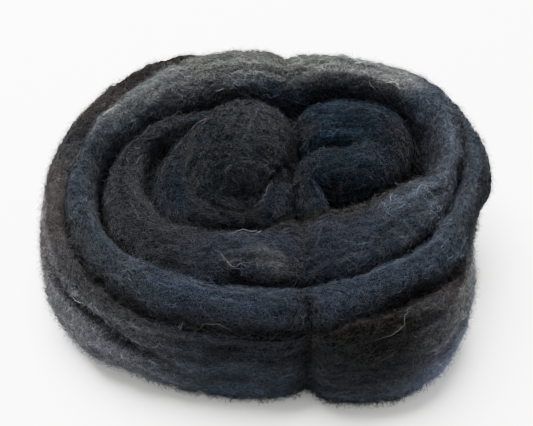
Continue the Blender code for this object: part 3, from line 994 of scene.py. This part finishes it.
def fibre_paths(ground, rng, zone, count, points, length, turned, crimp):
    """Curly paths lying on the surface (mm): paths, normals, roots and share of the way.

    Their length is in mm; turned and crimp are angles (radians): how far they point away
    from the sliver's heading, and how far they curl to either side.
    """
    weight = ground.areas * zone[ground.corners[:, 0]]
    corners = ground.corners[rng.choice(len(weight), count, p=weight / weight.sum())]
    root = corners[:, 0]
    first, second, third = (ground.points[corners[:, index]] for index in range(3))
    share = rng.uniform(0.0, 1.0, (2, count, 1))
    start = first + share[0] * (second - first) + share[1] * (third - second)
    normal = ground.normals[root]
    ahead = ground.headings[root]
    ahead = ahead - normal * np.sum(ahead * normal, axis=1)[:, None]
    ahead /= np.maximum(np.linalg.norm(ahead, axis=1), 1e-6)[:, None]
    aside = np.cross(normal, ahead)

    lengths = length * rng.uniform(0.5, 1.5, count)
    step = (lengths / (points - 1))[:, None]
    t = np.arange(points)[None, :] * step
    turn = rng.normal(0.0, turned, count)[:, None] + rng.normal(0.0, 0.09, count)[:, None] * (
        t - 0.5 * lengths[:, None])
    for _ in range(2):
        wave = ROUND / rng.uniform(2.6, 7.0, count)[:, None]
        turn = turn + rng.uniform(0.3, 1.0, count)[:, None] * crimp * np.sin(
            wave * t + rng.uniform(0.0, ROUND, count)[:, None])
    run = np.cumsum(np.cos(turn), axis=1) * step
    swing = np.cumsum(np.sin(turn), axis=1) * step
    run -= run.mean(axis=1)[:, None]
    swing -= swing.mean(axis=1)[:, None]
    paths = (start[:, None] + ahead[:, None] * run[:, :, None]
             + aside[:, None] * swing[:, :, None])
    placed, normals = ground.settle(paths)
    return placed, normals, root, t / lengths[:, None]


def fibre_colors(ground, rng, root, bright):
    """A colour for each fibre: the wool's where it is rooted, flecked and varied."""
    shares = np.array([row[0] for row in FLECKS])
    palette = np.array([row[1] for row in FLECKS])
    own = palette[rng.choice(len(shares), len(root), p=shares / shares.sum())]
    mix = rng.uniform(0.0, 1.0, len(root))[:, None]
    color = ground.colors[root] * (1.0 + mix * (own - 1.0))
    return color * (bright * np.exp(rng.normal(-0.05, 0.45, len(root))))[:, None]


def tube_faces(inner):
    """Quads and end fans of a three-sided tube with so many rings between its two tips.

    Each corner is given as its point's number and its place in a unit square.
    """
    rings = (np.arange(inner) + 1.0) / (inner + 1.0)
    start_tip, end_tip = inner * 3, inner * 3 + 1
    end = start_tip - 3
    quads, start_fan, end_fan = [], [], []
    for corner in range(3):
        after = (corner + 1) % 3
        low, middle, high = corner / 3.0, (corner + 0.5) / 3.0, (corner + 1.0) / 3.0
        start_fan.append([(corner, rings[0], low), (after, rings[0], high),
                          (start_tip, 0.0, middle)])
        end_fan.append([(end + after, rings[-1], high), (end + corner, rings[-1], low),
                        (end_tip, 1.0, middle)])
        for ring in range(inner - 1):
            near, far = ring * 3, ring * 3 + 3
            quads.append([(near + corner, rings[ring], low), (far + corner, rings[ring + 1], low),
                          (far + after, rings[ring + 1], high), (near + after, rings[ring], high)])
    return np.array(quads).reshape(-1, 4, 3), np.array(start_fan + end_fan)


def spread_faces(corners, count, each):
    """The faces of every fibre, and the places of their corners, each fibre in its own cell."""
    faces = corners[:, :, 0].astype(int) + np.arange(count)[:, None, None] * each
    cells = math.ceil(math.sqrt(count))
    cell = np.stack([np.arange(count) % cells, np.arange(count) // cells], axis=-1)
    spots = CELL_MARGIN + (1.0 - 2.0 * CELL_MARGIN) * corners[:, :, 1:] + cell[:, None, None]
    return faces.reshape(-1, corners.shape[1]).tolist(), (spots / cells).reshape(-1, 2)


def fibre_mesh(name, paths, widths, colors):
    """Every path as a closed three-sided tube that tapers to a point at each end (mm)."""
    count, points, _ = paths.shape
    ahead = np.gradient(paths, axis=1)
    ahead /= np.maximum(np.linalg.norm(ahead, axis=2), 1e-9)[:, :, None]
    helper = np.where(np.abs(ahead[:, :, 2:]) > 0.85, (1.0, 0.0, 0.0), (0.0, 0.0, 1.0))
    side = np.cross(ahead, helper)
    side /= np.maximum(np.linalg.norm(side, axis=2), 1e-9)[:, :, None]
    other = np.cross(side, ahead)
    inner = points - 2
    share = np.sin(math.pi * (np.arange(1, points - 1)) / (points - 1)) ** 0.5
    radius = 0.5 * widths[:, None] * share[None, :]
    rings = []
    for corner in range(3):
        turn = ROUND * corner / 3
        rings.append(paths[:, 1:-1] + radius[:, :, None] * (
            side[:, 1:-1] * math.cos(turn) + other[:, 1:-1] * math.sin(turn)))
    rings = np.stack(rings, axis=2).reshape(count, inner * 3, 3)
    verts = np.concatenate([rings, paths[:, :1], paths[:, -1:]], axis=1)
    each = verts.shape[1]

    quads, fans = tube_faces(inner)
    quads, quad_uvs = spread_faces(quads, count, each)
    fans, fan_uvs = spread_faces(fans, count, each)
    mesh = bpy.data.meshes.new(name)
    mesh.from_pydata((verts.reshape(-1, 3) * MM).tolist(), [], quads + fans)
    uvs = np.vstack([quad_uvs, fan_uvs]).astype(np.float32)
    mesh.uv_layers.new(name=UV_BAKE).data.foreach_set("uv", uvs.ravel())

    painted = np.ones((count, each, 4), np.float32)
    painted[:, :, :3] = colors[:, None]
    give_points(mesh, "tint", "FLOAT_COLOR", "color", painted)
    mesh.shade_smooth()
    mesh.update()
    return mesh


def add_fibres(name, paths, widths, colors, material):
    """Adds fibres as a piece that rides on the bundle."""
    paths[:, :, 2] = np.maximum(paths[:, :, 2], LOWEST_FIBRE)
    mesh = fibre_mesh(name, paths, widths, colors)
    mesh.materials.append(material)
    piece = bpy.data.objects.new(name, mesh)
    bpy.context.scene.collection.objects.link(piece)
    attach(piece, BODY)


def felted_fibres(ground, rng, zone, count, length, thickness):
    """Crimped fibres lying in the surface of the wool: paths, widths and colours."""
    paths, normals, root, t = fibre_paths(ground, rng, zone, count, points=5,
                                          length=length, turned=0.6, crimp=0.8)
    lift = rng.uniform(0.0, 0.55, count)[:, None] + 0.3 * np.sin(
        ROUND * rng.uniform(0.5, 1.5, count)[:, None] * t
        + rng.uniform(0.0, ROUND, count)[:, None])
    paths = paths + normals * lift[:, :, None]
    widths = thickness * rng.uniform(0.55, 1.25, count)
    return paths, widths, fibre_colors(ground, rng, root, 1.1)


def standing_fibres(ground, rng, zone, count, tall, width, pale):
    """Fine fibres that stand up to so tall (mm), with a share of pale colour and painted glow."""
    paths, normals, root, t = fibre_paths(ground, rng, zone, count, points=3,
                                          length=3.6, turned=1.5, crimp=1.2)
    high = 0.4 + tall * rng.uniform(0.0, 1.0, count)[:, None] ** 1.8
    tip = rng.uniform(0.0, 1.0, count)[:, None] < 0.3
    lift = np.where(tip, high * t ** 1.4, 0.9 * high * np.sin(math.pi * t) ** 0.7)
    paths = paths + normals * (0.1 + lift)[:, :, None] + rng.normal(0.0, 0.15, paths.shape)
    widths = width * rng.uniform(0.6, 1.3, count)
    colors = fibre_colors(ground, rng, root, 1.0)
    # The fuzz's paler colour and a painted glow of light, added to the standing fibres.
    colors += pale * np.array(PALE_FUZZ_AND_GLOW) * rng.uniform(0.2, 1.0, (count, 1))
    return paths, widths, colors


def stray_hairs(ground, rng, zone, count):
    """Long pale hairs lying loosely on the wool: paths, widths and colours."""
    paths, normals, _, t = fibre_paths(ground, rng, zone, count, points=16,
                                       length=13.0, turned=1.2, crimp=0.5)
    lift = 0.7 + rng.uniform(0.0, 1.6, count)[:, None] * np.sin(math.pi * t)
    paths = paths + normals * lift[:, :, None]
    return paths, np.full(count, 0.11), np.array(HAIR) * rng.uniform(0.2, 0.7, (count, 1))


def placed_hairs(ground):
    """The long hairs of the table, lying on the top: paths, widths and colours."""
    steps = np.linspace(0.0, 1.0, 16)
    paths = np.empty((len(PLACED_HAIRS), len(steps), 3))
    for path, places in zip(paths, PLACED_HAIRS):
        at = np.linspace(0.0, 1.0, len(places))
        for step, share in enumerate(steps):
            x, y = (np.interp(share, at, column) for column in zip(*places))
            place, _, _, _ = ground.tree.ray_cast(Vector((x, y, 90.0)), Vector((0.0, 0.0, -1.0)))
            path[step] = place
        path[:, 2] += 0.8 + 0.5 * np.sin(math.pi * steps)
    widths = np.full(len(paths), 0.12)
    return paths, widths, np.tile(HAIR, (len(paths), 1))


# ------------------------------------------------------------------ operators

class WOOL_OT_wind_bundle(Operator):
    """Wind the sliver of wool into the bundle"""
    bl_idname = "wool.wind_bundle"
    bl_label = "Wind the bundle"

    def execute(self, context):
        mesh = bundle_mesh(context.scene.wool_bundle)
        mesh.materials.append(wool_material("carded wool", 0.95, felted=True))
        piece = bpy.data.objects.new("wound_wool", mesh)
        context.scene.collection.objects.link(piece)
        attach(piece, BODY)
        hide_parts(NODE)
        return {"FINISHED"}


class WOOL_OT_lay_fibres(Operator):
    """Lay felted fibres, fuzz and stray hairs on the bundle"""
    bl_idname = "wool.lay_fibres"
    bl_label = "Lay the fibres"

    def execute(self, context):
        sizes = context.scene.wool_fibres
        ground = Ground(bpy.data.objects["wound_wool"].data)
        wool = wool_material("loose wool fibre", 0.9, felted=False)
        height = ground.points[:, 2]
        topside = (height > TOP_HEIGHT).astype(float)
        side = (1.0 - topside) * (height > SIDE_HEIGHT)
        under = (ground.normals[:, 2] < -0.5).astype(float)
        foot = (height > FOOT_HEIGHTS[0]) * (height < FOOT_HEIGHTS[1])
        outside = np.linalg.norm(ground.points[:, :2] / EDGE_HALVES, axis=1) > 1.0
        outer = side + topside * outside + foot
        felt = (sizes.length / MM, sizes.thickness / MM)
        seed = sizes.seed
        for name, lay, zone, count, values in (
                ("top_felt_1", felted_fibres, topside, sizes.felt_count, felt),
                ("top_felt_2", felted_fibres, topside, sizes.felt_count, felt),
                ("wall_felt", felted_fibres, side + 0.3 * under, sizes.felt_count, felt),
                ("fuzz", standing_fibres, topside + side, sizes.fuzz_count, FUZZ),
                ("edge_fuzz", standing_fibres, outer, sizes.edge_count, EDGE_FUZZ),
                ("stray_hairs", stray_hairs, topside + 0.5 * side, sizes.stray_count, ())):
            seed += SEED_STEP
            rng = np.random.default_rng(seed)
            add_fibres(name, *lay(ground, rng, zone, count, *values), wool)
        add_fibres("long_hairs", *placed_hairs(ground), wool)
        return {"FINISHED"}


class WOOL_OT_set_stage(Operator):
    """Set the pale floor, the soft light and the camera"""
    bl_idname = "wool.set_stage"
    bl_label = "Set the stage"

    def execute(self, context):
        sizes = context.scene.wool_stage
        scene = context.scene
        bpy.ops.mesh.primitive_plane_add(size=6.0)
        floor = context.object
        floor.name = "floor"
        material = bpy.data.materials.new("pale floor")
        material.use_nodes = True
        shader = material.node_tree.nodes["Principled BSDF"]
        shader.inputs["Base Color"].default_value = tuple(sizes.floor_color) + (1.0,)
        shader.inputs["Roughness"].default_value = 0.8
        floor.data.materials.append(material)

        world = bpy.data.worlds.new("studio")
        world.use_nodes = True
        world.node_tree.nodes["Background"].inputs["Color"].default_value = (1.0, 0.99, 0.97, 1.0)
        world.node_tree.nodes["Background"].inputs["Strength"].default_value = 1.3
        scene.world = world
        soft_light("overhead light", (-0.25, 0.45, 1.25), 1.1, sizes.light)

        target = Vector((0.0, -0.0005, 0.02))
        back = Vector((0.0, -math.cos(sizes.elevation), math.sin(sizes.elevation)))
        camera = bpy.data.cameras.new("camera")
        camera.lens = sizes.lens
        camera.sensor_width = 36.0
        camera.clip_start = 0.01
        camera.shift_x, camera.shift_y = (pixels / PICTURE_WIDTH for pixels in SHIFT)
        holder = bpy.data.objects.new("camera", camera)
        holder.location = target + back * sizes.distance
        holder.rotation_euler = back.to_track_quat("Z", "Y").to_euler()
        scene.collection.objects.link(holder)
        scene.camera = holder
        return {"FINISHED"}


def soft_light(name, place, size, power):
    """A square soft light that faces the bundle."""
    light = bpy.data.lights.new(name, "AREA")
    light.size = size
    light.energy = power
    holder = bpy.data.objects.new(name, light)
    holder.location = place
    holder.rotation_euler = Vector(place).to_track_quat("Z", "Y").to_euler()
    bpy.context.scene.collection.objects.link(holder)


class WOOL_PT_panel(Panel):
    """Sizes, colours and steps of the wool roving bundle"""
    bl_label = "Wool Roving Bundle"
    bl_idname = "WOOL_PT_panel"
    bl_space_type = "VIEW_3D"
    bl_region_type = "UI"
    bl_category = "Wool"

    def draw(self, context):
        for group, step in (("wool_bundle", WOOL_OT_wind_bundle),
                            ("wool_fibres", WOOL_OT_lay_fibres),
                            ("wool_stage", WOOL_OT_set_stage)):
            box = self.layout.box()
            values = getattr(context.scene, group)
            for name in values.bl_rna.properties.keys():
                if name not in ("rna_type", "name"):
                    box.prop(values, name)
            box.operator(step.bl_idname)


CLASSES = (BundleSizes, FibreSizes, StageSizes, WOOL_OT_wind_bundle, WOOL_OT_lay_fibres,
           WOOL_OT_set_stage, WOOL_PT_panel)


def register():
    for item in CLASSES:
        bpy.utils.register_class(item)
    bpy.types.Scene.wool_bundle = PointerProperty(type=BundleSizes)
    bpy.types.Scene.wool_fibres = PointerProperty(type=FibreSizes)
    bpy.types.Scene.wool_stage = PointerProperty(type=StageSizes)


def unregister():
    for name in ("wool_bundle", "wool_fibres", "wool_stage"):
        delattr(bpy.types.Scene, name)
    for item in reversed(CLASSES):
        bpy.utils.unregister_class(item)


def main():
    register()
    bpy.ops.wool.set_stage()
    bpy.ops.wool.wind_bundle()
    bpy.ops.wool.lay_fibres()


if __name__ == "__main__":
    main()
